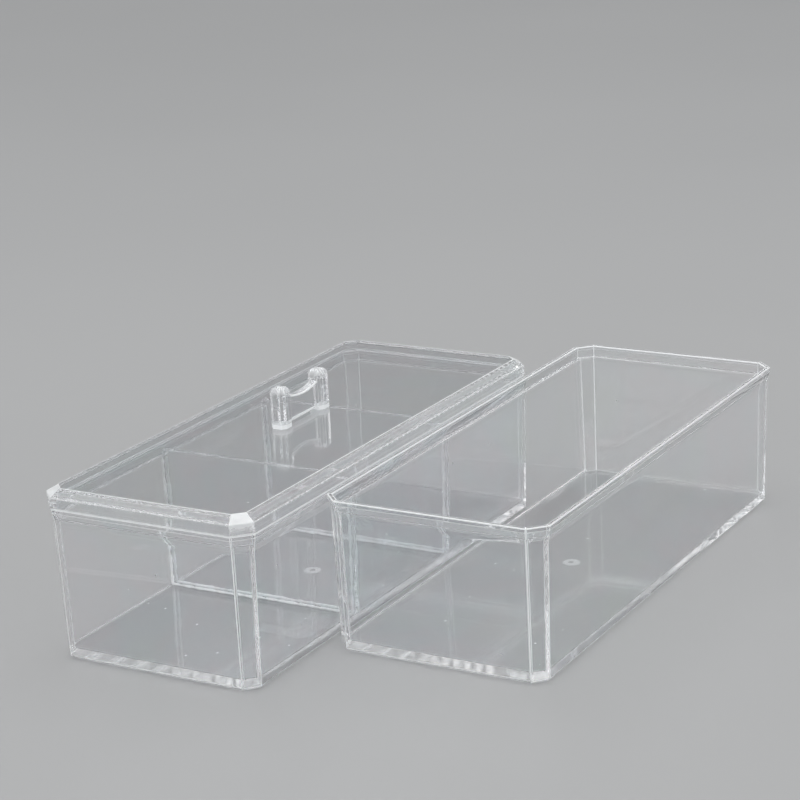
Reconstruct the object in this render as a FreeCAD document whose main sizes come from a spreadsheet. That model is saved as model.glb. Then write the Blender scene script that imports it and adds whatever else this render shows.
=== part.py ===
import FreeCAD, Part
import Sketcher
import os

# Clear stacking cosmetic organiser. An open tray and a divided tray stand side by side, and a lid with a
# bow-shaped knob lies on the divided one. Each tray's base fits the rebate in the other's rim.
# Millimetres, +Z up, X across the trays, Y along them. The origin is under the middle of the pair.

# Driving sizes: alias, value, meaning
SIZES = [
    ("tray_length", "190", "length over the rim"),
    ("tray_width", "78", "width over the rim"),
    ("tray_height", "51", "height of one tray"),
    ("corner_leg", "5.5", "leg of the cut corner at the rim"),
    ("wall", "2.2", "wall thickness below the rebate"),
    ("floor", "3", "floor thickness"),
    ("draft_angle", "1.3", "lean of the walls in degrees"),
    ("base_bevel", "0.9", "bevel round the base"),
    ("rim_wall", "1.6", "wall thickness above the rebate"),
    ("rim_depth", "3.8", "depth of the rebate in the rim"),
    ("rim_flare", "0.9", "how far the rim stands proud of the wall"),
    ("rim_land", "1.4", "height of the rim's upright band"),
    ("rim_band", "4.8", "height of the rim from where it starts to flare"),
    ("gate_dimple", "6", "diameter of the dimple under the floor"),
    ("gate_depth", "0.6", "depth of that dimple"),
    ("gate_stub", "1.8", "diameter of the gate stub in the dimple"),
    ("gate_rise", "0.4", "height of the gate stub"),
    ("divider_wall", "2", "thickness of a cross wall"),
    ("divider_drop", "1.4", "how far a cross wall stays below the rim"),
    ("lid_overhang", "0.2", "how far the lid reaches past the rim"),
    ("lid_side", "3.8", "height of the lid's upright side"),
    ("lid_bevel_rise", "2.2", "height of the bevel round the lid"),
    ("lid_bevel_run", "3.7", "width of the bevel round the lid"),
    ("lid_panel", "2", "thickness of the lid's top"),
    ("lid_shoulder", "1.2", "slope inside the lid, between side and top"),
    ("skirt_depth", "3.4", "how far the lid's skirt reaches into the rebate"),
    ("skirt_wall", "0.9", "thickness of the skirt"),
    ("skirt_clearance", "0.2", "play between skirt and rim"),
    ("knob_length", "30", "length over the knob's lugs"),
    ("lug_width", "6", "side of a lug's square section"),
    ("lug_height", "14", "height of a lug"),
    ("lug_bevel", "1.3", "bevel on a lug's upright edges"),
    ("lug_round", "1.9", "rounding of a lug's top"),
    ("web_wall", "3.4", "thickness of the web between the lugs"),
    ("web_rise", "1.2", "gap between web and lid"),
    ("web_height", "10.6", "height of the web's ends above the lid"),
    ("web_saddle", "1.4", "sag of the web's top edge at its middle"),
    ("web_root", "0.6", "how far the web runs into each lug"),
    ("pair_gap", "0.9", "gap between the rims of the two trays"),
    ("pair_stagger", "40", "how far the open tray stands behind the divided one"),
]

COMPARTMENTS = 3           # equal spaces that the two cross walls make
CROWN_SHARE = 0.9          # most of a lug's bevel that the rounding of its top may take
LEVEL = 1e-6               # how closely a point lies at a height

START, END = 1, 2          # ends of a sketch line
CENTRE = 3                 # middle of a sketch circle
X_AXIS, Y_AXIS = -1, -2    # a sketch's own axes
ORIGIN = (-1, 1)           # a sketch's own origin

doc = FreeCAD.newDocument("StackingOrganiser")
sheet = doc.addObject("Spreadsheet::Sheet", "Sizes")
for row, (alias, value, meaning) in enumerate(SIZES, start=1):
    sheet.set("A%d" % row, meaning)
    sheet.set("B%d" % row, value)
    sheet.setAlias("B%d" % row, alias)
doc.recompute()

# Expressions that more than one piece uses
LEAN = "tan(Sizes.draft_angle * 1 deg)"
FLARE_START = "(Sizes.tray_height - Sizes.rim_band)"
LEDGE = "(Sizes.tray_height - Sizes.rim_depth)"
SKIRT_OUTSIDE = "(Sizes.rim_wall + Sizes.skirt_clearance)"
LID_CAVITY = "(%s + Sizes.skirt_wall)" % SKIRT_OUTSIDE
LID_TOP = "(Sizes.lid_side + Sizes.lid_bevel_rise)"
HALF_PITCH_X = "((Sizes.tray_width + Sizes.pair_gap) / 2)"
HALF_PITCH_Y = "(Sizes.pair_stagger / 2)"
HALF_OVERHANG = "(Sizes.lid_overhang / 2)"
OPEN_PLACE = (HALF_PITCH_X + " + " + HALF_OVERHANG, HALF_PITCH_Y + " + " + HALF_OVERHANG)
DIVIDED_PLACE = ("-%s + %s" % (HALF_PITCH_X, HALF_OVERHANG), "-%s + %s" % (HALF_PITCH_Y, HALF_OVERHANG))


def number(expression):
    """Value of an expression with the sheet's present sizes."""
    return float(sheet.evalExpression(expression))


def outside(height):
    """Inset of the drafted outer wall from the rim's outline, at a height below the flare."""
    return "(Sizes.rim_flare + (%s - (%s)) * %s)" % (FLARE_START, height, LEAN)


def inside(height):
    """Inset of the drafted inner wall, parallel to the outer one."""
    return "(%s + Sizes.wall / cos(Sizes.draft_angle * 1 deg))" % outside(height)


def new_body(label, place, height="0"):
    """Body with a label of its own, placed by expressions."""
    body = doc.addObject("PartDesign::Body", label)
    body.Label = label
    for axis, expression in zip("xyz", (place[0], place[1], height)):
        body.setExpression("Placement.Base." + axis, expression)
    return body


def new_sketch(body, name, plane, offset="0"):
    """Empty sketch on one of the body's own origin planes, moved along its normal."""
    sketch = body.newObject("Sketcher::SketchObject", name)
    support = [p for p in body.Origin.OriginFeatures if p.Role == plane][0]
    sketch.AttachmentSupport = [(support, "")]
    sketch.MapMode = "FlatFace"
    sketch.setExpression("AttachmentOffset.Base.z", offset)
    return sketch


def closed_outline(sketch, points):
    """Lines round a list of points, joined end to end."""
    count = len(points)
    corners = [FreeCAD.Vector(x, y, 0) for x, y in points]
    for i in range(count):
        sketch.addGeometry(Part.LineSegment(corners[i], corners[(i + 1) % count]), False)
    for i in range(count):
        sketch.addConstraint(Sketcher.Constraint("Coincident", i, END, (i + 1) % count, START))


def dimension(sketch, kind, name, first, second, expression):
    """Named distance between two points, each a line and its end, bound to an expression."""
    constraint = Sketcher.Constraint(kind, *first, *second, number(expression))
    index = sketch.addConstraint(constraint)
    sketch.renameConstraint(index, name)
    sketch.setExpression("Constraints." + name, expression)


def cut_rectangle(sketch, width, length, leg):
    """Rectangle with cut corners about the sketch's origin."""
    half_x = number(width) / 2
    half_y = number(length) / 2
    cut = number(leg)
    closed_outline(sketch, [
        (-half_x + cut, -half_y), (half_x - cut, -half_y), (half_x, -half_y + cut), (half_x, half_y - cut),
        (half_x - cut, half_y), (-half_x + cut, half_y), (-half_x, half_y - cut), (-half_x, -half_y + cut)])
    for i in range(4):
        sketch.addConstraint(Sketcher.Constraint("Symmetric", i, START, i + 4, START, *ORIGIN))
    sketch.addConstraint(Sketcher.Constraint("Symmetric", 0, START, 1, START, Y_AXIS))
    sketch.addConstraint(Sketcher.Constraint("Symmetric", 2, START, 3, START, X_AXIS))
    dimension(sketch, "DistanceX", "width", (6, START), (2, START), width)
    dimension(sketch, "DistanceY", "length", (1, START), (4, START), length)
    dimension(sketch, "DistanceX", "leg_across", (1, START), (2, START), leg)
    dimension(sketch, "DistanceY", "leg_along", (1, START), (2, START), leg)


def ring(body, name, inset, height):
    """The rim's outline drawn in by an inset all round, at a height."""
    sketch = new_sketch(body, name, "XY_Plane", height)
    cut_rectangle(
        sketch,
        "Sizes.tray_width - 2 * %s" % inset,
        "Sizes.tray_length - 2 * %s" % inset,
        "Sizes.corner_leg - (2 - sqrt(2)) * %s" % inset)
    return sketch


def disc(body, name, diameter, height):
    """Circle about the body's own axis, at a height."""
    sketch = new_sketch(body, name, "XY_Plane", height)
    circle = Part.Circle(FreeCAD.Vector(0, 0, 0), FreeCAD.Vector(0, 0, 1), number(diameter) / 2)
    sketch.addGeometry(circle, False)
    sketch.addConstraint(Sketcher.Constraint("Coincident", 0, CENTRE, *ORIGIN))
    index = sketch.addConstraint(Sketcher.Constraint("Diameter", 0, number(diameter)))
    sketch.renameConstraint(index, "diameter")
    sketch.setExpression("Constraints.diameter", diameter)
    return sketch


def loft(body, kind, name, rings):
    """Flat-sided loft through rings, from the lowest to the highest."""
    feature = body.newObject("PartDesign::" + kind, name)
    feature.Profile = rings[0]
    feature.Sections = rings[1:]
    feature.Ruled = True
    doc.recompute()
    return feature


def extrude(body, kind, name, sketch, depth, backwards=False, both_ways=False):
    """Pad or Pocket of a sketch by a depth."""
    feature = body.newObject("PartDesign::" + kind, name)
    feature.Profile = sketch
    feature.setExpression("Length", depth)
    feature.Reversed = backwards
    feature.Midplane = both_ways
    doc.recompute()
    return feature


def tray(label, place):
    """Drafted tray with cut corners, a bevelled base, and a flared rim with a rebate inside it."""
    body = new_body(label, place)
    loft(body, "AdditiveLoft", "Shell", [
        ring(body, "BaseRing", "(%s + Sizes.base_bevel)" % outside("Sizes.base_bevel"), "0"),
        ring(body, "BevelRing", outside("Sizes.base_bevel"), "Sizes.base_bevel"),
        ring(body, "FlareRing", "Sizes.rim_flare", FLARE_START),
        ring(body, "LandRing", "0", "Sizes.tray_height - Sizes.rim_land"),
        ring(body, "RimRing", "0", "Sizes.tray_height")])
    loft(body, "SubtractiveLoft", "Hollow", [
        ring(body, "FloorRing", inside("Sizes.floor"), "Sizes.floor"),
        ring(body, "LedgeInner", inside(LEDGE), LEDGE)])
    loft(body, "SubtractiveLoft", "Rebate", [
        ring(body, "LedgeOuter", "Sizes.rim_wall", LEDGE),
        ring(body, "RimInner", "Sizes.rim_wall", "Sizes.tray_height")])
    dimple = disc(body, "DimpleOutline", "Sizes.gate_dimple", "0")
    extrude(body, "Pocket", "GateDimple", dimple, "Sizes.gate_depth", backwards=True)
    stub = disc(body, "StubOutline", "Sizes.gate_stub", "Sizes.gate_depth - Sizes.gate_rise")
    extrude(body, "Pad", "GateStub", stub, "Sizes.gate_rise")
    return body


def divider(label, side):
    """Cross wall that follows the drafted walls, from the floor to just below the rim."""
    inner_length = "(Sizes.tray_length - 2 * %s)" % inside("Sizes.tray_height / 2")
    half_pitch = "(%s + Sizes.divider_wall) / (2 * %d)" % (inner_length, COMPARTMENTS)
    along = "%s %s %s" % (DIVIDED_PLACE[1], side, half_pitch)
    top = "(Sizes.tray_height - Sizes.divider_drop)"
    foot_width = "Sizes.tray_width - 2 * %s" % inside("Sizes.floor")
    top_width = "Sizes.tray_width - 2 * %s" % inside(top)
    body = new_body(label, (DIVIDED_PLACE[0], along))
    sketch = new_sketch(body, "Outline", "XZ_Plane")
    low, high = number("Sizes.floor"), number(top)
    half_foot, half_top = number(foot_width) / 2, number(top_width) / 2
    closed_outline(sketch, [(-half_foot, low), (half_foot, low), (half_top, high), (-half_top, high)])
    sketch.addConstraint(Sketcher.Constraint("Symmetric", 0, START, 1, START, Y_AXIS))
    sketch.addConstraint(Sketcher.Constraint("Symmetric", 2, START, 3, START, Y_AXIS))
    dimension(sketch, "DistanceX", "foot", (0, START), (1, START), foot_width)
    dimension(sketch, "DistanceX", "top", (3, START), (2, START), top_width)
    dimension(sketch, "DistanceY", "floor", ORIGIN, (0, START), "Sizes.floor")
    dimension(sketch, "DistanceY", "height", ORIGIN, (2, START), top)
    extrude(body, "Pad", "Wall", sketch, "Sizes.divider_wall", both_ways=True)
    return body


def lid():
    """Hollow lid with a bevelled, cut-cornered top and a skirt that drops into the rebate."""
    body = new_body("lid", DIVIDED_PLACE, "Sizes.tray_height")
    edge = "(-Sizes.lid_overhang)"
    loft(body, "AdditiveLoft", "Cap", [
        ring(body, "SeatRing", edge, "0"),
        ring(body, "SideRing", edge, "Sizes.lid_side"),
        ring(body, "TopRing", "(Sizes.lid_bevel_run - Sizes.lid_overhang)", LID_TOP)])
    skirt = ring(body, "SkirtRing", SKIRT_OUTSIDE, "-Sizes.skirt_depth")
    extrude(body, "Pad", "Skirt", skirt, "Sizes.skirt_depth")
    ceiling = "(%s - Sizes.lid_panel)" % LID_TOP
    loft(body, "SubtractiveLoft", "Hollow", [
        ring(body, "MouthRing", LID_CAVITY, "-Sizes.skirt_depth"),
        ring(body, "ShoulderRing", LID_CAVITY, "%s - Sizes.lid_shoulder" % ceiling),
        ring(body, "CeilingRing", "(%s + Sizes.lid_shoulder)" % LID_CAVITY, ceiling)])
    return body


def bow_knob():
    """Bow-shaped knob: two square lugs with rounded tops, and a saddle-topped web between them."""
    body = new_body("bow_knob", DIVIDED_PLACE, "Sizes.tray_height + " + LID_TOP)
    half_web = "(Sizes.knob_length / 2 - Sizes.lug_width + Sizes.web_root)"
    reach, low, high = number(half_web), number("Sizes.web_rise"), number("Sizes.web_height")
    web = new_sketch(body, "WebOutline", "YZ_Plane")
    web.addGeometry(Part.LineSegment(FreeCAD.Vector(-reach, low, 0), FreeCAD.Vector(reach, low, 0)), False)
    web.addGeometry(Part.LineSegment(FreeCAD.Vector(reach, low, 0), FreeCAD.Vector(reach, high, 0)), False)
    saddle = Part.Arc(
        FreeCAD.Vector(-reach, high, 0),
        FreeCAD.Vector(0, high - number("Sizes.web_saddle"), 0),
        FreeCAD.Vector(reach, high, 0))
    web.addGeometry(saddle, False)
    web.addGeometry(Part.LineSegment(FreeCAD.Vector(-reach, high, 0), FreeCAD.Vector(-reach, low, 0)), False)
    web.addConstraint(Sketcher.Constraint("Coincident", 0, END, 1, START))
    web.addConstraint(Sketcher.Constraint("Coincident", 1, END, 2, END))
    web.addConstraint(Sketcher.Constraint("Coincident", 2, START, 3, START))
    web.addConstraint(Sketcher.Constraint("Coincident", 3, END, 0, START))
    web.addConstraint(Sketcher.Constraint("Symmetric", 0, START, 0, END, Y_AXIS))
    web.addConstraint(Sketcher.Constraint("Symmetric", 3, START, 1, END, Y_AXIS))
    web.addConstraint(Sketcher.Constraint("Vertical", 1))
    dimension(web, "DistanceX", "length", (0, START), (0, END), "2 * " + half_web)
    dimension(web, "DistanceY", "rise", ORIGIN, (0, START), "Sizes.web_rise")
    dimension(web, "DistanceY", "height", ORIGIN, (1, END), "Sizes.web_height")
    radius = "(%s ^ 2 + Sizes.web_saddle ^ 2) / (2 * Sizes.web_saddle)" % half_web
    index = web.addConstraint(Sketcher.Constraint("Radius", 2, number(radius)))
    web.renameConstraint(index, "saddle")
    web.setExpression("Constraints.saddle", radius)
    extrude(body, "Pad", "Web", web, "Sizes.web_wall", both_ways=True)
    middle = "(Sizes.knob_length - Sizes.lug_width) / 2"
    for name, side in (("FrontLug", "-"), ("RearLug", "")):
        sketch = new_sketch(body, name + "Outline", "XY_Plane")
        sketch.setExpression("AttachmentOffset.Base.y", side + middle)
        cut_rectangle(sketch, "Sizes.lug_width", "Sizes.lug_width", "Sizes.lug_bevel")
        extrude(body, "Pad", name, sketch, "Sizes.lug_height")
    top = number("Sizes.lug_height")
    lugs = body.Tip
    crown = []
    for i, edge in enumerate(lugs.Shape.Edges, start=1):
        if all(abs(vertex.Z - top) < LEVEL for vertex in edge.Vertexes):
            crown.append("Edge%d" % i)
    crowned = body.newObject("PartDesign::Fillet", "Crown")
    crowned.Base = (lugs, crown)
    corner_room = "%g * Sizes.lug_bevel * sqrt(2) / (2 * tan(45 deg / 2))" % CROWN_SHARE
    crowned.setExpression("Radius", "min(Sizes.lug_round; %s)" % corner_room)
    doc.recompute()
    return body


pieces = [
    tray("open_tray", OPEN_PLACE),
    tray("divided_tray", DIVIDED_PLACE),
    divider("front_divider", "-"),
    divider("rear_divider", "+"),
    lid(),
    bow_knob(),
]
doc.recompute()

# Nothing is written unless every object is sound
for item in doc.Objects:
    if "Invalid" in item.State or "Error" in item.State:
        raise RuntimeError("%s failed: %s" % (item.Name, item.State))
for body in pieces:
    if body.Shape.isNull() or not body.Shape.isValid():
        raise RuntimeError("%s has no valid shape" % body.Label)
    if len(body.Shape.Solids) != 1:
        raise RuntimeError("%s is not one solid" % body.Label)

os.makedirs("parts", exist_ok=True)
for body in pieces:
    body.Shape.exportStep("parts/%s.step" % body.Label)
    box = body.Shape.BoundBox
    print("%-14s %9.1f mm3  X %.2f to %.2f  Y %.2f to %.2f  Z %.2f to %.2f" % (
        body.Label, body.Shape.Volume, box.XMin, box.XMax, box.YMin, box.YMax, box.ZMin, box.ZMax))
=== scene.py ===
"""Looks of a clear stacking cosmetic organiser.

Two moulded trays, two cemented cross walls, a bevelled lid and its bow knob.
"""

import math

import bpy
from bpy.props import FloatProperty, FloatVectorProperty, IntProperty, PointerProperty
from mathutils import Matrix, Vector


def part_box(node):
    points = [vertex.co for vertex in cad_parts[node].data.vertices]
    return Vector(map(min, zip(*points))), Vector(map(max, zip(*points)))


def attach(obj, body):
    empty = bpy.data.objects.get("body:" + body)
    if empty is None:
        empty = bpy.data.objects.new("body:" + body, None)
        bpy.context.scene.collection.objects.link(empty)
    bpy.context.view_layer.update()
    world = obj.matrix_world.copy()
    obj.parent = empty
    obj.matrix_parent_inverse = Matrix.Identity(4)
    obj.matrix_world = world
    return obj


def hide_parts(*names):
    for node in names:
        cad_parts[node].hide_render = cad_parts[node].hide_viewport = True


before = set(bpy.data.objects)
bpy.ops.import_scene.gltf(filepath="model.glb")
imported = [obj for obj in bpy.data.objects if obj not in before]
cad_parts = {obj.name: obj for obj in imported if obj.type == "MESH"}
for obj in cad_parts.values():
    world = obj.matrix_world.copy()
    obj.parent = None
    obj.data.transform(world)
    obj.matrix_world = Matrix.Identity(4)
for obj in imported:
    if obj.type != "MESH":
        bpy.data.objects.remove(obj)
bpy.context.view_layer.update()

bl_info = {
    "name": "Clear stacking organiser",
    "version": (1, 0, 0),
    "blender": (4, 5, 0),
    "location": "View3D > Sidebar > Organiser",
    "description": "Clear trays, cross walls, a bevelled lid and a bow knob, on a plain studio stage",
    "category": "Object",
}

MM = 0.001
# Cloudy edges carry a painted white highlight.
FADE = 0.12 * MM            # over which a cloudy edge turns clear
ARC_STEPS = 5               # straight steps in each rounded corner
ARC_RINGS = ARC_STEPS + 3   # rings that a rounded corner adds, with one clear ring before and after it
WEB_STEPS = 10              # sections in each half of the knob's web
SEED = 7.0                  # fixed start of every uneven line
CLEAR = 0.0                 # cloudiness of a polished place
CRISP = math.radians(35)    # edges of the knob that turn more than this stay crisp
CAST_STOPS = (0.3, 0.45, 0.55, 0.7)   # where the tint of stressed plastic changes
CLOUD_RANGE = (0.36, 0.56)            # noise between which a cloudy place goes from clear spots to full
LUMP_RANGE = (0.3, 0.7)               # noise between which a line of cement goes from thin to thick
LUMP_STEPS = 8                        # sections in each swelling of the cement
BEAD_SIDES = 8                        # sides of a line of cement
FLOOR_PATCHES = 3.0                   # patches in each metre of the floor
SKY_TURN = (-0.4, 0.6)                # from the camera's side to behind the object
SKY_RISE = (0.35, 0.6)                # from the low sky to the top sky


def size(name, description, millimetres):
    """Length that a user may change."""
    return FloatProperty(
        name=name, description=description, default=millimetres * MM,
        min=0.0, unit="LENGTH", precision=5)


def angle(name, description, degrees):
    """Angle that a user may change."""
    return FloatProperty(
        name=name, description=description, default=math.radians(degrees), subtype="ANGLE")


def share(name, description, value):
    """Share from 0 to 1 that a user may change."""
    return FloatProperty(
        name=name, description=description, default=value, min=0.0, max=1.0, subtype="FACTOR")


def colour(name, description, red, green, blue):
    """Colour that a user may change."""
    return FloatVectorProperty(
        name=name, description=description, default=(red, green, blue),
        min=0.0, soft_max=1.0, subtype="COLOR")


class TrayShape(bpy.types.PropertyGroup):
    """Sizes of the moulded trays; their outside comes from the frame."""

    corner_leg: size("Corner leg", "Side of each cut corner at the rim", 5.5)
    wall: size("Wall", "Thickness of the drafted walls", 2.2)
    floor: size("Floor", "Thickness of the floor", 3.0)
    draft: angle("Draft", "Slope of the walls", 1.3)
    base_bevel: size("Base bevel", "Height and width of the bevel round the base", 0.9)
    rim_wall: size("Rim wall", "Thickness of the rim outside its rebate", 1.6)
    rim_depth: size("Rim depth", "Depth of the rebate inside the rim", 3.8)
    rim_flare: size("Rim flare", "How far the rim stands out from the wall", 0.9)
    rim_land: size("Rim land", "Upright band at the top of the rim", 1.4)
    rim_band: size("Rim band", "Height over which the rim flares", 4.8)
    edge_round: size("Edge round", "Rounding of the outside edges", 0.3)
    flare_round: size("Flare round", "Rounding where the wall turns into the flare", 13.0)
    floor_round: size("Floor round", "Rounding where the walls meet the floor", 0.9)
    corner_round: size("Corner round", "Rounding of the upright edges", 0.7)
    # These hazes roughen the edges and paint a white highlight on them that stands in for light caught in
    # the clear walls.
    edge_haze_and_glow: share("Edge haze", "How cloudy the upright edges are", 0.9)
    base_haze_and_glow: share("Base haze", "How cloudy the edges of the base bevel are", 0.6)
    land_haze_and_glow: share("Land haze", "How cloudy the lower edge of the rim's upright band is", 0.5)
    rim_haze_and_glow: share("Rim haze", "How cloudy the rim's top edges are", 1.0)
    ledge_haze_and_glow: share("Ledge haze", "How cloudy the inner edge of the rebate is", 0.3)
    gate_dimple: size("Gate dimple", "Diameter of the dimple under the floor", 6.0)
    gate_depth: size("Gate depth", "Depth of the dimple", 0.6)
    gate_stub: size("Gate stub", "Diameter of the broken-off gate", 1.8)
    gate_rise: size("Gate rise", "Height of the broken-off gate", 0.4)
    gate_haze: share("Gate haze", "How cloudy the dimple is round the gate", 0.7)
    clear_spots: share("Clear spots", "Share of a cloudy place that stays clear in spots", 0.0)


class DividerShape(bpy.types.PropertyGroup):
    """Sizes of the cross walls and the lines of cement that hold them."""

    edge_round: size("Edge round", "Rounding of the plates' edges", 0.25)
    seam: size("Seam", "Hairline between a plate and the tray", 0.08)
    bead: size("Bead", "Mean radius of a line of cement", 0.4)
    unevenness: share("Unevenness", "How much the cement swells and thins", 0.6)
    lump: size("Lump", "Usual length of a swelling in the cement", 2.4)
    end_haze: share("End haze", "How cloudy the plates' ends are", 0.1)
    # Top haze paints a white highlight on the plates' top edges.
    top_haze_and_glow: share("Top haze", "How cloudy the plates' top edges are", 0.15)
    foot_haze: share("Foot haze", "How cloudy the plates' feet are", 0.6)
    clear_spots: share("Clear spots", "Share of a cloudy place that stays clear in spots", 0.3)


class LidShape(bpy.types.PropertyGroup):
    """Sizes of the lid; its outside comes from the frame."""

    overhang: size("Overhang", "How far the lid stands out over the rim", 0.2)
    side: size("Side", "Height of the upright side", 3.8)
    bevel_run: size("Bevel run", "Width of the bevel round the top", 3.7)
    panel: size("Panel", "Thickness of the top", 2.0)
    shoulder: size("Shoulder", "Slope between the skirt and the ceiling", 1.2)
    skirt_depth: size("Skirt depth", "How far the skirt drops into the rim", 3.4)
    skirt_wall: size("Skirt wall", "Thickness of the skirt", 0.9)
    skirt_clearance: size("Skirt clearance", "Play between the skirt and the rim", 0.2)
    edge_round: size("Edge round", "Rounding of the lid's edges", 0.35)
    inner_round: size("Inner round", "Rounding of the lid's inner edges", 0.7)
    seam: size("Seam", "Hairline between the lid and the rim", 0.08)
    # These hazes roughen the cut corners and edges and paint a white highlight on them.
    corner_haze_and_glow: share("Corner haze", "How cloudy the cut corners are", 0.8)
    seat_haze_and_glow: share("Seat haze", "How cloudy the lower outside edge is", 1.0)
    side_haze_and_glow: share("Side haze", "How cloudy the edge under the bevel is", 0.5)
    bevel_haze_and_glow: share("Bevel haze", "How cloudy the edge over the bevel is", 1.0)
    clear_spots: share("Clear spots", "Share of a cloudy place that stays clear in spots", 0.2)


class KnobShape(bpy.types.PropertyGroup):
    """Sizes of the bow knob; its outside comes from the frame."""

    lug: size("Lug", "Side of each square lug", 6.0)
    lug_bevel: size("Lug bevel", "Bevel of the lugs' upright edges", 1.4)
    lug_round: size("Lug round", "Rounding of the lugs' tops", 1.8)
    web_wall: size("Web wall", "Thickness of the web between the lugs", 3.2)
    web_rise: size("Web rise", "Gap under the web", 1.2)
    web_height: size("Web height", "Height of the web beside the lugs", 10.6)
    web_saddle: size("Web saddle", "Dip in the middle of the web's top", 1.4)
    web_round: size("Web round", "Rounding of the web's edges", 0.6)
    edge_round: size("Edge round", "Rounding of the lugs' upright edges", 0.3)
    foot: size("Foot", "Height of the cloudy cement at the lugs' feet", 2.0)
    seam: size("Seam", "Hairline between the knob and the lid", 0.05)
    # These hazes paint a white highlight on the knob's edges and rounded tops.
    edge_haze_and_glow: share("Edge haze", "How cloudy the knob's edges are", 1.0)
    top_haze_and_glow: share("Top haze", "How cloudy the lugs' rounded tops are", 0.3)
    clear_spots: share("Clear spots", "Share of a cloudy place that stays clear in spots", 0.3)


class ClearFinish(bpy.types.PropertyGroup):
    """Finish of the clear plastic."""

    tint: colour("Tint", "Colour of the clear plastic", 0.965, 0.98, 0.99)
    pink_tint: colour("Pink tint", "Faint pink cast of stressed plastic", 0.985, 0.974, 0.982)
    green_tint: colour("Green tint", "Faint green cast of stressed plastic", 0.968, 0.986, 0.979)
    index: FloatProperty(
        name="Index", description="Refractive index of the plastic", default=1.51, min=1.0, max=2.0)
    polish: share("Polish", "Roughness of the polished plastic", 0.012)
    smear: share("Smear", "Roughness that handling adds in patches", 0.035)
    smear_size: size("Smear size", "Usual size of a patch", 28.0)
    speck: share("Speck", "Roughness of dust specks and nicks", 0.5)
    speck_spacing: size("Speck spacing", "Usual distance between specks", 9.0)
    speck_reach: share("Speck reach", "Largest speck as a share of that distance", 0.05)
    speck_gap: share("Speck gap", "Share of the places that have no speck", 0.75)
    # The milky white on the moulded edges is a painted highlight that stands in for light caught in the
    # clear walls; on cemented places it is the cement's own white.
    frost: share("Frost", "Roughness of cemented places and scuffed edges", 0.5)
    milk_and_glow: share("Milk", "How white cemented places and scuffed edges look", 0.85)
    milk_and_glow_white: colour("Milk white", "Colour of cemented places and scuffed edges", 0.86, 0.88, 0.89)
    foot_fade: size("Foot fade", "Height over which a cloudy foot turns clear", 0.5)
    blotch: size("Blotch", "Usual size of an uneven spot in a cloudy place", 2.2)
    ripple: share("Ripple", "Strength of the ripple in the moulded faces", 0.05)
    ripple_size: size("Ripple size", "Usual length of a ripple", 22.0)


class StudioStage(bpy.types.PropertyGroup):
    """Floor, sky, lamp and camera."""

    floor: colour("Floor", "Colour of the floor", 0.38, 0.384, 0.388)
    floor_half: size("Floor half", "Half the side of the floor", 6000.0)
    floor_grain: share("Floor grain", "How much the floor's colour varies", 0.03)
    floor_sheen: share("Floor sheen", "Roughness of the floor where it is smoothest", 0.28)
    floor_wear: share("Floor wear", "Roughness that wear adds in patches", 0.1)
    floor_index: FloatProperty(
        name="Floor index", description="Refractive index of the floor's finish", default=1.45, min=1.0)
    floor_gap: size("Floor gap", "Air between the floor and the trays' undersides", 0.3)
    top_sky: colour("Top sky", "Light from above", 1.0, 1.0, 1.0)
    front_sky: colour("Front sky", "Light from low on the camera's side", 1.45, 1.45, 1.45)
    back_sky: colour("Back sky", "Light from low behind the object", 0.22, 0.225, 0.23)
    mirrored_sky: colour(
        "Mirrored sky", "What polished faces mirror from low on the camera's side", 0.45, 0.455, 0.46)
    lamp_power: FloatProperty(
        name="Lamp power", description="Power of the softbox", default=3.0, min=0.0, unit="POWER")
    lamp_width: size("Lamp width", "Width of the softbox", 1000.0)
    lamp_depth: size("Lamp depth", "Depth of the softbox", 900.0)
    lamp_place: FloatVectorProperty(
        name="Lamp place", description="Where the softbox hangs", default=(-0.15, 0.2, 1.05),
        subtype="TRANSLATION", unit="LENGTH")
    lamp_target: FloatVectorProperty(
        name="Lamp target", description="Point that the softbox faces", default=(0.0, 0.0, 0.03),
        subtype="TRANSLATION", unit="LENGTH")
    bounces: IntProperty(
        name="Bounces", description="How often light may turn inside the clear walls", default=96, min=1)
    camera_place: FloatVectorProperty(
        name="Camera place", description="Where the camera stands", default=(0.38143, -0.66809, 0.29532),
        subtype="TRANSLATION", unit="LENGTH")
    heading: angle("Heading", "Turn of the view from +Y towards -X", 30.49)
    pitch: angle("Pitch", "Tilt of the view below the horizon", 16.86)
    roll: angle("Roll", "Clockwise roll of the camera", 2.87)
    lens: FloatProperty(
        name="Lens", description="Focal length in millimetres on a 36 mm sensor", default=107.47,
        min=1.0, unit="CAMERA")


class Signal:
    """Value in a tree of nodes; arithmetic on it adds Math nodes."""

    def __init__(self, graph, socket):
        self.graph = graph
        self.socket = socket

    def math(self, operation, first, second=0.0):
        return self.graph.node("ShaderNodeMath", {"operation": operation}, {0: first, 1: second})

    def __add__(self, other):
        return self.math("ADD", self, other)

    def __sub__(self, other):
        return self.math("SUBTRACT", self, other)

    def __rsub__(self, other):
        return self.math("SUBTRACT", other, self)

    def __mul__(self, other):
        return self.math("MULTIPLY", self, other)

    def __truediv__(self, other):
        return self.math("DIVIDE", self, other)

    def __rtruediv__(self, other):
        return self.math("DIVIDE", other, self)

    def __gt__(self, other):
        return self.math("GREATER_THAN", self, other)

    def __lt__(self, other):
        return self.math("LESS_THAN", self, other)

    __radd__ = __add__
    __rmul__ = __mul__


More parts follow.
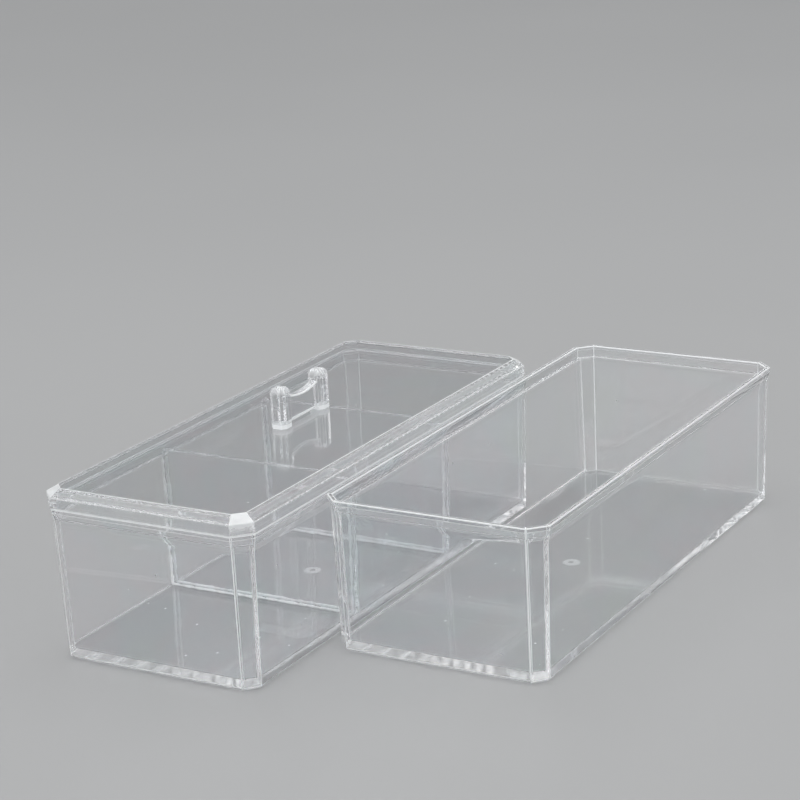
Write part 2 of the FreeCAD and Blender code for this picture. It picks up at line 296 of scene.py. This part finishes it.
class Graph:
    """Nodes of one tree."""

    def __init__(self, tree):
        self.tree = tree
        self.tree.nodes.clear()

    def node(self, kind, settings=None, values=None, take=0):
        """Adds a node, sets it up, feeds its sockets, and gives one of its outputs."""
        node = self.tree.nodes.new(kind)
        for key, value in (settings or {}).items():
            if key == "stops":
                stops = node.color_ramp.elements
                while len(stops) < len(value):
                    stops.new(0.5)
                for stop, (place, shade) in zip(stops, value):
                    stop.position = place
                    stop.color = (*shade, 1.0)
            else:
                setattr(node, key, value)
        for key, value in (values or {}).items():
            if isinstance(value, Signal):
                self.tree.links.new(value.socket, node.inputs[key])
            else:
                node.inputs[key].default_value = value
        return Signal(self, node.outputs[take]) if node.outputs else None


def shading(owner):
    """Empty graph of a material or a world."""
    owner.use_nodes = True
    return Graph(owner.node_tree)


def clear_plastic(name, clear_spots, cloudy_below=None):
    """Polished clear plastic with smears, specks and a faint ripple.

    It is milky where its mask attribute says and below a level, but for a share that stays clear in spots:
    white cement, and a painted highlight on the edges.
    """
    finish = bpy.context.scene.organiser_finish
    material = bpy.data.materials.new(name)
    graph = shading(material)
    spot = graph.node("ShaderNodeTexCoord", take="Object")
    smear = graph.node("ShaderNodeTexNoise", values={
        "Vector": spot, "Scale": 1 / finish.smear_size, "Detail": 4.0, "Roughness": 0.6})
    cell = {"Vector": spot, "Scale": 1 / finish.speck_spacing}
    speck_distance = graph.node("ShaderNodeTexVoronoi", values=cell, take="Distance")
    speck_choice = graph.node("ShaderNodeTexVoronoi", values=cell, take="Color")
    chosen = graph.node("ShaderNodeSeparateXYZ", values={"Vector": speck_choice}, take="X")
    speck = (speck_distance < chosen * finish.speck_reach) * (chosen > finish.speck_gap)
    stress = graph.node("ShaderNodeTexNoise", values={
        "Vector": spot, "Scale": 0.6 / finish.smear_size, "Detail": 1.0, "Distortion": 1.5})
    tints = (finish.tint, finish.pink_tint, finish.tint, finish.green_tint)
    cast = graph.node("ShaderNodeValToRGB", {"stops": list(zip(CAST_STOPS, tints))}, {"Fac": stress})
    # Mask of the milky white: cement where parts are cemented, and a painted highlight along the moulded
    # edges.
    cloud_and_glow = graph.node("ShaderNodeAttribute", {"attribute_name": "frost"}, take="Fac")
    if cloudy_below is not None:
        height = graph.node("ShaderNodeSeparateXYZ", values={"Vector": spot}, take="Z")
        cloud_and_glow = cloud_and_glow + graph.node("ShaderNodeMapRange", {"interpolation_type": "SMOOTHSTEP"}, {
            "Value": height, "From Min": cloudy_below - finish.foot_fade, "From Max": cloudy_below,
            "To Min": 1.0, "To Max": 0.0})
    blotch = graph.node("ShaderNodeTexNoise", values={
        "Vector": spot, "Scale": 1 / finish.blotch, "Detail": 2.0, "Roughness": 0.7})
    uneven = graph.node("ShaderNodeMapRange", values={
        "Value": blotch, "From Min": CLOUD_RANGE[0], "From Max": CLOUD_RANGE[1],
        "To Min": 1.0 - clear_spots, "To Max": 1.0})
    haze_and_glow = cloud_and_glow * uneven
    roughness = finish.polish + smear * finish.smear + speck * finish.speck + haze_and_glow * finish.frost
    ripple = graph.node("ShaderNodeTexNoise", values={
        "Vector": spot, "Scale": 1 / finish.ripple_size, "Detail": 1.0})
    bump = graph.node("ShaderNodeBump", values={
        "Strength": finish.ripple, "Distance": MM, "Height": ripple + cloud_and_glow * blotch * clear_spots})
    clear = graph.node("ShaderNodeBsdfPrincipled", values={
        "Base Color": cast, "Roughness": roughness, "Normal": bump, "IOR": finish.index,
        "Transmission Weight": 1.0})
    # Milky white mixed in by that mask: the cement's own colour, and a painted edge highlight.
    milky_and_glow = graph.node("ShaderNodeBsdfPrincipled", values={
        "Base Color": (*finish.milk_and_glow_white, 1.0), "Roughness": finish.frost, "Normal": bump,
        "IOR": finish.index})
    surface = graph.node("ShaderNodeMixShader", values={0: haze_and_glow * finish.milk_and_glow, 1: clear, 2: milky_and_glow})
    graph.node("ShaderNodeOutputMaterial", values={"Surface": surface})
    return material


def cut_rectangle(width, length, leg):
    """Corners of a rectangle whose corners are cut, round to the left; every second side is a cut."""
    x, y = width / 2, length / 2
    return [Vector(corner) for corner in (
        (x, y - leg), (x - leg, y), (leg - x, y), (-x, y - leg),
        (-x, leg - y), (leg - x, -y), (x - leg, -y), (x, leg - y))]


def outline(corners, inset, radius, weights, edges):
    """Points, outward directions and cloudiness round a convex outline.

    The outline is moved inwards and its corners are rounded. Weights give each side's cloudiness, and edges
    that of the rounded corners.
    """
    # Each weight is cloudiness, and also how much white highlight is painted there.
    sides = []
    for i, corner in enumerate(corners):
        along = (corners[(i + 1) % len(corners)] - corner).normalized()
        outward = Vector((along.y, -along.x))
        sides.append((outward, outward.dot(corner) - inset - radius, weights[i]))
    ring = []
    for i in range(len(corners)):
        before, reach_before, weight_before = sides[i - 1]
        after, reach_after, weight_after = sides[i]
        spread = before.x * after.y - before.y * after.x
        centre = Vector((
            (reach_before * after.y - reach_after * before.y) / spread,
            (before.x * reach_after - after.x * reach_before) / spread))
        start = math.atan2(before.y, before.x)
        turn = math.atan2(spread, before.dot(after))
        for step in range(ARC_STEPS + 1):
            part = step / ARC_STEPS
            outward = Vector((math.cos(start + part * turn), math.sin(start + part * turn)))
            weight = weight_before + part * (weight_after - weight_before)
            weight = max(weight, edges * math.sin(math.pi * part))
            ring.append((centre + radius * outward, outward, weight))
    return ring


def rounded_path(points):
    """Points, normals and cloudiness along a path.

    Each given point is its place outward and along, the radius of its corner, and its cloudiness.
    """
    # Each cloudiness also sets how much white highlight is painted on a rounded edge.
    path = []
    for before, here, after in zip(points, points[1:], points[2:]):
        corner = Vector(here[:2])
        radius, cloud_and_glow = here[2:]
        arriving = (corner - Vector(before[:2])).normalized()
        leaving = (Vector(after[:2]) - corner).normalized()
        turn = math.atan2(arriving.x * leaving.y - arriving.y * leaving.x, arriving.dot(leaving))
        side = math.copysign(1.0, turn)
        normal = Vector((arriving.y, -arriving.x))
        reach = radius * math.tan(abs(turn) / 2)
        centre = corner - arriving * reach - side * radius * normal
        start = math.atan2(normal.y, normal.x)
        path.append((corner - arriving * (reach + FADE), normal, CLEAR))
        for step in range(ARC_STEPS + 1):
            bearing = start + turn * step / ARC_STEPS
            normal = Vector((math.cos(bearing), math.sin(bearing)))
            path.append((centre + side * radius * normal, normal, cloud_and_glow))
        path.append((corner + leaving * (reach + FADE), normal, CLEAR))
    return path


def swept(corners, weights, edges, path, radius, place):
    """Rings of an outline that follow a path; place turns plan coordinates and a height into a point."""
    origin = place(0.0, 0.0, 0.0)
    rings = []
    for (outward, along), (lean, rise), cloud_and_glow in path:
        ring = []
        for point, direction, weight in outline(corners, -outward, radius, weights, edges):
            normal = place(direction.x * lean, direction.y * lean, rise) - origin
            ring.append((place(point.x, point.y, along), normal, max(weight, cloud_and_glow)))
        rings.append(ring)
    return rings


def turned(path, count, place):
    """Rings of a round feature that follow a path."""
    origin = place(0.0, 0.0, 0.0)
    rings = []
    for (radius, along), (lean, rise), cloud_and_glow in path:
        ring = []
        for i in range(count):
            bearing = 2 * math.pi * (i + 0.5) / count
            x, y = math.cos(bearing), math.sin(bearing)
            normal = place(x * lean, y * lean, rise) - origin
            ring.append((place(x * radius, y * radius, along), normal, cloud_and_glow))
        rings.append(ring)
    return rings


def clear_ends(rings):
    """Makes the first and the last ring clear, so that no edge's haze spreads over the face inside it."""
    # No painted white highlight spreads over the face either.
    for ring in (rings[0], rings[-1]):
        ring[:] = [(point, normal, CLEAR) for point, normal, cloud_and_glow in ring]


def skin(name, rings, material):
    """Closed mesh object over rings that all have the same count of points."""
    count = len(rings[0])
    faces = [tuple(reversed(range(count)))]
    for i in range(len(rings) - 1):
        for j in range(count):
            k = (j + 1) % count
            faces.append((i * count + j, i * count + k, (i + 1) * count + k, (i + 1) * count + j))
    faces.append(tuple(range((len(rings) - 1) * count, len(rings) * count)))
    points = [point for ring in rings for point in ring]
    mesh = bpy.data.meshes.new(name)
    mesh.from_pydata([place for place, normal, weight in points], [], faces)
    mesh.shade_smooth()
    mesh.normals_split_custom_set_from_vertices([normal for place, normal, weight in points])
    # Mask of cement and of the painted white edge highlight.
    frost = mesh.attributes.new("frost", "FLOAT", "POINT")
    frost.data.foreach_set("value", [weight for place, normal, weight in points])
    mesh.materials.append(material)
    return shown(name, mesh)


def shown(name, mesh):
    """Object in the scene for a mesh."""
    piece = bpy.data.objects.new(name, mesh)
    bpy.context.scene.collection.objects.link(piece)
    return piece


def fitted(piece, node, body):
    """The piece stands for a node, moves with its body, and takes its finish from a slot."""
    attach(piece, body)
    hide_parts(node)


def standing_at(node):
    """Function that turns plan coordinates about a node's middle, and a height, into a point."""
    low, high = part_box(node)
    middle = (low + high) / 2
    return lambda x, y, z: Vector((middle.x + x, middle.y + y, z))


def extent(node):
    """Sizes of a node's box."""
    low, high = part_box(node)
    return high - low


def wall_outside(shape, height, level):
    """Outward place of a tray's outside wall at a level, from the rim's outline."""
    return -shape.rim_flare - (height - shape.rim_band - level) * math.tan(shape.draft)


def tray_rings(node):
    """Rings from the middle of a tray's underside, up its outside, over the rim and down to its floor."""
    shape = bpy.context.scene.organiser_tray
    width, length, height = extent(node)
    place = standing_at(node)
    corners = cut_rectangle(width, length, shape.corner_leg)
    flare = height - shape.rim_band
    ledge = height - shape.rim_depth
    base = wall_outside(shape, height, shape.base_bevel)
    inner_ledge = wall_outside(shape, height, ledge) - shape.wall
    inner_floor = wall_outside(shape, height, shape.floor) - shape.wall
    middle = -width / 4   # well inside the outline, where the flat faces begin and end
    edge = shape.edge_round
    # Haze on the base, land, rim and ledge edges and on the upright edges paints a white highlight there.
    path = rounded_path([
        (middle, 0.0, 0.0, CLEAR),
        (base - shape.base_bevel, 0.0, edge, shape.base_haze_and_glow),
        (base, shape.base_bevel, edge, shape.base_haze_and_glow),
        (-shape.rim_flare, flare, shape.flare_round, CLEAR),
        (0.0, height - shape.rim_land, 3 * edge, shape.land_haze_and_glow),
        (0.0, height, edge, shape.rim_haze_and_glow),
        (-shape.rim_wall, height, edge, shape.rim_haze_and_glow),
        (-shape.rim_wall, ledge, edge, CLEAR),
        (inner_ledge, ledge, edge, shape.ledge_haze_and_glow),
        (inner_floor, shape.floor, shape.floor_round, CLEAR),
        (middle, shape.floor, 0.0, CLEAR)])
    walls = swept(corners, [CLEAR] * len(corners), shape.edge_haze_and_glow, path, shape.corner_round, place)
    clear_ends(walls)
    stub = shape.gate_stub / 2
    dimple = shape.gate_dimple / 2
    soft = shape.gate_rise / 4
    gate = rounded_path([
        (0.0, shape.gate_depth - shape.gate_rise, 0.0, CLEAR),
        (stub, shape.gate_depth - shape.gate_rise, soft, CLEAR),
        (stub, shape.gate_depth, soft, CLEAR),
        (dimple, shape.gate_depth, soft, CLEAR),
        (dimple, 0.0, soft, CLEAR),
        (2 * dimple, 0.0, 0.0, CLEAR)])
    gate = [
        (spot, normal, shape.gate_haze if stub < spot.x < dimple + soft else CLEAR)
        for spot, normal, cloud_and_glow in gate]
    return turned(gate, len(walls[0]), place) + walls


class ORGANISER_OT_trays(bpy.types.Operator):
    """Moulds the open tray and the divided tray"""

    bl_idname = "organiser.trays"
    bl_label = "Trays"

    def execute(self, context):
        material = clear_plastic("clear_tray_plastic", context.scene.organiser_tray.clear_spots)
        for node in ("open_tray", "divided_tray"):
            piece = skin(node + "_moulding", tray_rings(node), material)
            fitted(piece, node, node)
        return {"FINISHED"}


DIVIDERS = ("front_divider", "rear_divider")


class ORGANISER_OT_dividers(bpy.types.Operator):
    """Cuts the two cross walls, cloudy where they are cemented"""

    bl_idname = "organiser.dividers"
    bl_label = "Cross walls"

    def execute(self, context):
        shape, tray = context.scene.organiser_divider, context.scene.organiser_tray
        material = clear_plastic("clear_divider_sheet", shape.clear_spots)
        slope = math.tan(tray.draft)
        for node in DIVIDERS:
            low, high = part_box(node)
            middle = (low + high) / 2
            foot = low.z + shape.seam
            top = high.z
            half_top = (high.x - low.x) / 2 - shape.seam
            half_foot = half_top - (top - foot) * slope
            corners = [Vector(corner) for corner in (
                (foot, -half_foot), (top, -half_top), (top, half_top), (foot, half_foot))]
            half_wall = (high.y - low.y) / 2
            inside = -(top - foot) / 4
            path = rounded_path([
                (inside, -half_wall, 0.0, CLEAR),
                (0.0, -half_wall, shape.edge_round, CLEAR),
                (0.0, half_wall, shape.edge_round, CLEAR),
                (inside, half_wall, 0.0, CLEAR)])
            # The ends and feet are cloudy with cement; the top edges get a painted white highlight.
            sides = [shape.end_haze, shape.top_haze_and_glow, shape.end_haze, shape.foot_haze]
            rings = swept(
                corners, sides, CLEAR, path, 2 * shape.edge_round,
                lambda z, x, y: Vector((middle.x + x, middle.y + y, z)))
            clear_ends(rings)
            piece = skin(node + "_plate", rings, material)
            fitted(piece, node, "divided_tray")
        return {"FINISHED"}


def bead_tree():
    """Nodes that lay an uneven bead of cement along the edges of a mesh."""
    tree = bpy.data.node_groups.new("CementBead", "GeometryNodeTree")
    kinds = {
        "Geometry": "Geometry", "Radius": "Float", "Unevenness": "Float", "Lump": "Float", "Seed": "Float",
        "Material": "Material"}
    for name, kind in kinds.items():
        tree.interface.new_socket(name, in_out="INPUT", socket_type="NodeSocket" + kind)
    tree.interface.new_socket("Geometry", in_out="OUTPUT", socket_type="NodeSocketGeometry")
    graph = Graph(tree)
    given = {name: graph.node("NodeGroupInput", take=name) for name in kinds}
    lump = given["Lump"]
    path = graph.node("GeometryNodeMeshToCurve", values={"Mesh": given["Geometry"]})
    path = graph.node("GeometryNodeResampleCurve", {"mode": "LENGTH"}, {
        "Curve": path, "Length": lump / LUMP_STEPS})
    noise = graph.node("ShaderNodeTexNoise", {"noise_dimensions": "4D"}, {
        "W": given["Seed"], "Scale": 1 / lump, "Detail": 2.0})
    swing = graph.node("ShaderNodeMapRange", values={
        "Value": noise, "From Min": LUMP_RANGE[0], "From Max": LUMP_RANGE[1],
        "To Min": -1.0, "To Max": 1.0})
    section = graph.node("GeometryNodeCurvePrimitiveCircle", {"mode": "RADIUS"}, {
        "Resolution": BEAD_SIDES, "Radius": 1.0})
    bead = graph.node("GeometryNodeCurveToMesh", values={
        "Curve": path, "Profile Curve": section, "Fill Caps": True,
        "Scale": (1 + swing * given["Unevenness"]) * given["Radius"]})
    bead = graph.node("GeometryNodeStoreNamedAttribute", values={
        "Geometry": bead, "Name": "frost", "Value": 1.0})
    bead = graph.node("GeometryNodeRealizeInstances", values={"Geometry": bead})
    bead = graph.node("GeometryNodeSetMaterial", values={
        "Geometry": bead, "Material": given["Material"]})
    graph.node("NodeGroupOutput", values={"Geometry": bead})
    return tree


class ORGANISER_OT_cement(bpy.types.Operator):
    """Runs a bead of cement along both sides of each cross wall"""

    bl_idname = "organiser.cement"
    bl_label = "Cement lines"

    def execute(self, context):
        shape, tray = context.scene.organiser_divider, context.scene.organiser_tray
        room = shape.bead * (1 + shape.unevenness)
        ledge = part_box("divided_tray")[1].z - tray.rim_depth - room
        points, edges = [], []
        for node in DIVIDERS:
            low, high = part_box(node)
            foot = low.z + room
            upper, lower = [room + math.tan(tray.draft) * (high.z - level) for level in (ledge, foot)]
            for face, side in ((low.y, -1), (high.y, 1)):
                y = face + side * room
                run = [
                    (low.x + upper, y, ledge),
                    (low.x + lower, y, foot),
                    (high.x - lower, y, foot),
                    (high.x - upper, y, ledge)]
                first = len(points)
                points += run
                edges += [(first + i, first + i + 1) for i in range(len(run) - 1)]
        lines = bpy.data.meshes.new("cement_paths")
        lines.from_pydata(points, edges, [])
        laid = shown("cement_paths", lines)
        modifier = laid.modifiers.new("bead", "NODES")
        modifier.node_group = bead_tree()
        values = {
            "Radius": shape.bead, "Unevenness": shape.unevenness, "Lump": shape.lump, "Seed": SEED,
            "Material": clear_plastic("cement", shape.clear_spots)}
        for item in modifier.node_group.interface.items_tree:
            if item.in_out == "INPUT" and item.name in values:
                modifier[item.identifier] = values[item.name]
        mesh = bpy.data.meshes.new_from_object(laid.evaluated_get(context.evaluated_depsgraph_get()))
        bpy.data.objects.remove(laid)
        mesh.shade_smooth()
        beads = shown("cement_lines", mesh)
        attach(beads, "divided_tray")
        return {"FINISHED"}


class ORGANISER_OT_lid(bpy.types.Operator):
    """Moulds the bevelled lid with its skirt"""

    bl_idname = "organiser.lid"
    bl_label = "Lid"

    def execute(self, context):
        shape, tray = context.scene.organiser_lid, context.scene.organiser_tray
        width, length = extent("lid").xy
        low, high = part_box("lid")
        seat = low.z + shape.skirt_depth + shape.seam
        shoulder = low.z + shape.skirt_depth + shape.side
        top = high.z
        ceiling = top - shape.panel
        corners = cut_rectangle(
            width - 2 * shape.overhang, length - 2 * shape.overhang, tray.corner_leg)
        skirt = -tray.rim_wall - shape.skirt_clearance
        cavity = skirt - shape.skirt_wall
        middle = -width / 4   # well inside the outline, where the flat faces begin and end
        edge = shape.edge_round
        # Hazes on the outside edges and the cut corners paint a white highlight there.
        path = rounded_path([
            (middle, ceiling, 0.0, CLEAR),
            (cavity - shape.shoulder, ceiling, shape.inner_round, CLEAR),
            (cavity, ceiling - shape.shoulder, shape.inner_round, CLEAR),
            (cavity, low.z, edge, CLEAR),
            (skirt, low.z, edge, CLEAR),
            (skirt, seat, edge / 2, CLEAR),
            (shape.overhang, seat, edge, shape.seat_haze_and_glow),
            (shape.overhang, shoulder, edge, shape.side_haze_and_glow),
            (shape.overhang - shape.bevel_run, top, edge, shape.bevel_haze_and_glow),
            (middle, top, 0.0, CLEAR)])
        below = 6 * ARC_RINGS   # rings of the first six corners, up to the lower outside edge
        plain = [CLEAR] * len(corners)
        hazy_glowing_cuts = [shape.corner_haze_and_glow, CLEAR] * (len(corners) // 2)
        rings = []
        for weights, part in ((plain, path[:below]), (hazy_glowing_cuts, path[below:-2]), (plain, path[-2:])):
            rings += swept(corners, weights, CLEAR, part, tray.corner_round, standing_at("lid"))
        piece = skin("lid_moulding", rings, clear_plastic("clear_lid_plastic", shape.clear_spots))
        fitted(piece, "lid", "lid")
        return {"FINISHED"}


def web_section(shape, low, high):
    """Ring across the web: an upright rectangle with rounded corners, cloudy at its edges."""
    radius = shape.web_round
    out = shape.web_wall / 2 - radius
    ring = []
    for x, z, start in (
            (-out, high - radius, 180), (out, high - radius, 90),
            (out, low + radius, 0), (-out, low + radius, 270)):
        for step in range(ARC_STEPS + 1):
            bearing = math.radians(start - 90 * step / ARC_STEPS)
            lean = math.cos(bearing)
            rise = math.sin(bearing)
            # The cloudy edges carry a painted white highlight.
            cloud_and_glow = CLEAR if step in (0, ARC_STEPS) else shape.edge_haze_and_glow
            ring.append((x + radius * lean, z + radius * rise, lean, rise, cloud_and_glow))
    return ring


class ORGANISER_OT_knob(bpy.types.Operator):
    """Moulds the bow knob, cloudy where it is cemented on the lid"""

    bl_idname = "organiser.knob"
    bl_label = "Bow knob"

    def execute(self, context):
        shape = context.scene.organiser_knob
        low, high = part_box("bow_knob")
        middle = (low + high) / 2
        material = clear_plastic("clear_knob_plastic", shape.clear_spots, low.z + shape.foot)
        # The feet are cloudy with cement; the edges and rounded tops get a painted white highlight.
        inside = -shape.lug_round - 2 * FADE
        path = rounded_path([
            (inside, low.z + shape.seam, 0.0, CLEAR),
            (0.0, low.z + shape.seam, shape.edge_round, CLEAR),
            (0.0, high.z, shape.lug_round, shape.top_haze_and_glow),
            (inside, high.z, 0.0, CLEAR)])
        corners = cut_rectangle(shape.lug, shape.lug, shape.lug_bevel)
        reach = (high.y - low.y - shape.lug) / 2
        made = []
        for side in (-1, 1):
            centre = Vector((middle.x, middle.y + side * reach, 0.0))
            rings = swept(
                corners, [CLEAR] * len(corners), shape.edge_haze_and_glow, path, shape.edge_round,
                lambda x, y, z: centre + Vector((x, y, z)))
            made.append(skin("lug", rings, material))
        web_end = reach - shape.lug / 2
        rings = []
        for i in range(-WEB_STEPS - 1, WEB_STEPS + 2):
            along = i / WEB_STEPS
            y = middle.y + web_end * along
            top = low.z + shape.web_height - shape.web_saddle * max(0.0, 1 - along ** 2)
            section = web_section(shape, low.z + shape.web_rise, top)
            rings.append([
                (Vector((middle.x + x, y, z)), (lean, 0.0, rise), cloud_and_glow)
                for x, z, lean, rise, cloud_and_glow in section])
        made.append(skin("web", rings, material))
        for other in made[1:]:
            union = made[0].modifiers.new("union", "BOOLEAN")
            union.operation = "UNION"
            union.solver = "MANIFOLD"
            union.object = other
        mesh = bpy.data.meshes.new_from_object(made[0].evaluated_get(context.evaluated_depsgraph_get()))
        for part in made:
            bpy.data.objects.remove(part)
        if "custom_normal" in mesh.attributes:
            mesh.attributes.remove(mesh.attributes["custom_normal"])
        mesh.shade_smooth()
        mesh.set_sharp_from_angle(angle=CRISP)
        piece = shown("bow_knob_moulding", mesh)
        weighted = piece.modifiers.new("even_faces", "WEIGHTED_NORMAL")
        weighted.keep_sharp = True
        fitted(piece, "bow_knob", "lid")
        return {"FINISHED"}


def ramp(graph, value, limits):
    """Smooth step from 0 to 1 between two limits."""
    return graph.node("ShaderNodeMapRange", {"interpolation_type": "SMOOTHSTEP"}, {
        "Value": value, "From Min": limits[0], "From Max": limits[1]})


def blend(graph, factor, first, second):
    """Mix of two colours, each a value in the graph or a plain colour."""
    colours = [shade if isinstance(shade, Signal) else (*shade, 1.0) for shade in (first, second)]
    return graph.node(
        "ShaderNodeMix", {"data_type": "RGBA"}, {0: factor, 6: colours[0], 7: colours[1]}, take=2)


def lay_floor(stage):
    """Pale floor just under the trays."""
    half = stage.floor_half
    level = -stage.floor_gap
    corners = [(-half, -half, level), (half, -half, level), (half, half, level), (-half, half, level)]
    mesh = bpy.data.meshes.new("floor")
    mesh.from_pydata(corners, [], [(0, 1, 2, 3)])
    material = bpy.data.materials.new("pale_floor")
    graph = shading(material)
    spot = graph.node("ShaderNodeTexCoord", take="Object")
    grain = graph.node("ShaderNodeTexNoise", values={"Vector": spot, "Scale": FLOOR_PATCHES, "Detail": 3.0})
    shade = blend(graph, grain, stage.floor, (1 + stage.floor_grain) * Vector(stage.floor))
    surface = graph.node("ShaderNodeBsdfPrincipled", values={
        "Base Color": shade, "Roughness": grain * stage.floor_wear + stage.floor_sheen,
        "IOR": stage.floor_index})
    graph.node("ShaderNodeOutputMaterial", values={"Surface": surface})
    mesh.materials.append(material)
    shown("floor", mesh)


def light_sky(stage):
    """Sky that is bright above and on the camera's side, and dim low behind the object.

    Polished faces mirror a calmer front sky than the one that lights the object, so the lid stays clear.
    """
    world = bpy.data.worlds.new("studio")
    graph = shading(world)
    facing = graph.node("ShaderNodeTexCoord", take="Generated")
    rise = graph.node("ShaderNodeSeparateXYZ", values={"Vector": facing}, take="Z")
    behind = (-math.sin(stage.heading), math.cos(stage.heading), 0.0)
    away = graph.node(
        "ShaderNodeVectorMath", {"operation": "DOT_PRODUCT"}, {0: facing, 1: behind}, take="Value")
    through = graph.node("ShaderNodeLightPath", take="Is Transmission Ray")
    mirrored = (1 - through) * graph.node("ShaderNodeLightPath", take="Is Glossy Ray")
    front_sky = blend(graph, mirrored, stage.front_sky, stage.mirrored_sky)
    low_sky = blend(graph, ramp(graph, away, SKY_TURN), front_sky, stage.back_sky)
    sky = blend(graph, ramp(graph, rise, SKY_RISE), low_sky, stage.top_sky)
    glow = graph.node("ShaderNodeBackground", values={"Color": sky, "Strength": 1.0})
    graph.node("ShaderNodeOutputWorld", values={"Surface": glow})
    bpy.context.scene.world = world


def hang_softbox(stage):
    """Broad soft lamp over the object."""
    data = bpy.data.lights.new("top_softbox", "AREA")
    data.shape = "RECTANGLE"
    data.size = stage.lamp_width
    data.size_y = stage.lamp_depth
    data.energy = stage.lamp_power
    softbox = bpy.data.objects.new("top_softbox", data)
    softbox.location = stage.lamp_place
    softbox.rotation_mode = "QUATERNION"
    aim = Vector(stage.lamp_target) - Vector(stage.lamp_place)
    softbox.rotation_quaternion = aim.to_track_quat("-Z", "Y")
    softbox.visible_camera = False
    softbox.visible_glossy = False
    bpy.context.scene.collection.objects.link(softbox)


def stand_camera(stage):
    """Camera at the photograph's viewing angle."""
    data = bpy.data.cameras.new("camera")
    data.lens = stage.lens
    data.dof.use_dof = False
    camera = bpy.data.objects.new("camera", data)
    turn = Matrix.Rotation(stage.heading, 3, "Z")
    tilt = Matrix.Rotation(math.pi / 2 - stage.pitch, 3, "X")
    roll = Matrix.Rotation(-stage.roll, 3, "Z")
    camera.matrix_world = Matrix.Translation(stage.camera_place) @ (turn @ tilt @ roll).to_4x4()
    bpy.context.scene.collection.objects.link(camera)
    bpy.context.scene.camera = camera


class ORGANISER_OT_stage(bpy.types.Operator):
    """Lays the floor and sets the sky, the lamp and the camera"""

    bl_idname = "organiser.stage"
    bl_label = "Stage"

    def execute(self, context):
        scene = context.scene
        stage = scene.organiser_stage
        lay_floor(stage)
        light_sky(stage)
        hang_softbox(stage)
        stand_camera(stage)
        scene.cycles.max_bounces = stage.bounces
        scene.cycles.glossy_bounces = stage.bounces
        scene.cycles.transmission_bounces = stage.bounces
        scene.cycles.blur_glossy = 0.0   # keeps the light in the clear walls sharp
        scene.view_settings.view_transform = "Standard"
        return {"FINISHED"}


class ORGANISER_PT_panel(bpy.types.Panel):
    """Sizes, finish and makers of the organiser"""

    bl_idname = "ORGANISER_PT_panel"
    bl_label = "Clear organiser"
    bl_space_type = "VIEW_3D"
    bl_region_type = "UI"
    bl_category = "Organiser"

    def draw(self, context):
        for maker in MAKERS:
            self.layout.operator(maker.bl_idname)
        for name, group in GROUPS.items():
            box = self.layout.box()
            box.label(text=group.__doc__.split(";")[0].rstrip("."))
            for value in group.__annotations__:
                box.prop(getattr(context.scene, name), value)


GROUPS = {
    "organiser_tray": TrayShape,
    "organiser_divider": DividerShape,
    "organiser_lid": LidShape,
    "organiser_knob": KnobShape,
    "organiser_finish": ClearFinish,
    "organiser_stage": StudioStage,
}
MAKERS = (
    ORGANISER_OT_trays,
    ORGANISER_OT_dividers,
    ORGANISER_OT_cement,
    ORGANISER_OT_lid,
    ORGANISER_OT_knob,
    ORGANISER_OT_stage,
)


def register():
    for group in GROUPS.values():
        bpy.utils.register_class(group)
    for maker in MAKERS:
        bpy.utils.register_class(maker)
    bpy.utils.register_class(ORGANISER_PT_panel)
    for name, group in GROUPS.items():
        setattr(bpy.types.Scene, name, PointerProperty(type=group))


def unregister():
    for name in GROUPS:
        delattr(bpy.types.Scene, name)
    bpy.utils.unregister_class(ORGANISER_PT_panel)
    for maker in reversed(MAKERS):
        bpy.utils.unregister_class(maker)
    for group in reversed(GROUPS.values()):
        bpy.utils.unregister_class(group)


def main():
    register()
    bpy.ops.organiser.trays()
    bpy.ops.organiser.dividers()
    bpy.ops.organiser.cement()
    bpy.ops.organiser.lid()
    bpy.ops.organiser.knob()
    bpy.ops.organiser.stage()


if __name__ == "__main__":
    main()
